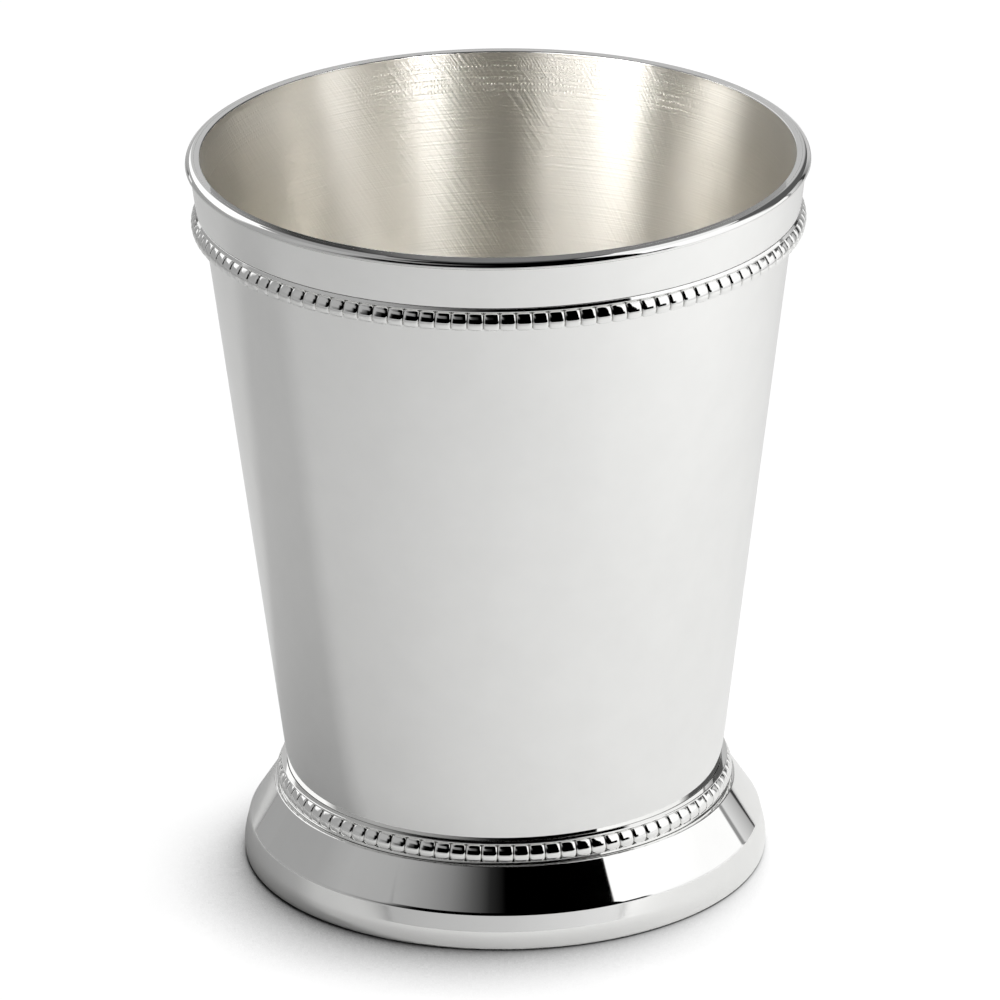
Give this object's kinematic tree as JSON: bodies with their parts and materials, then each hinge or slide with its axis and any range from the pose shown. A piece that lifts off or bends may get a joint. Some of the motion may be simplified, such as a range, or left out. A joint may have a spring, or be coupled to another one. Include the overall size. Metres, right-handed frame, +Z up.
{
  "type": "julep cup",
  "caption": "Tapered metal drinking cup with a plain collar at its mouth, beaded strips under the collar and at the base, and a spread hollow foot.",
  "frame": {"origin": "on the table, at the middle of the foot's standing edge", "axes": "+Z up the cup's axis; -Y is the side that the picture looks at"},
  "size_m": [0.0842, 0.0842, 0.1016],
  "materials": {
    "beaker": "silver plate on brass, polished to a mirror outside and left satin inside",
    "collar": "silver plate on brass, polished to a mirror",
    "beads": "pressed and polished silver plate on brass, a little darker in its grooves",
    "foot": "silver plate on brass, polished to a mirror"
  },
  "bodies": {
    "root": {"cup_body": "beaker", "rim_collar": "collar", "upper_bead_strip": "beads", "lower_bead_strip": "beads", "foot_ring": "foot"}
  },
  "joints": []
}
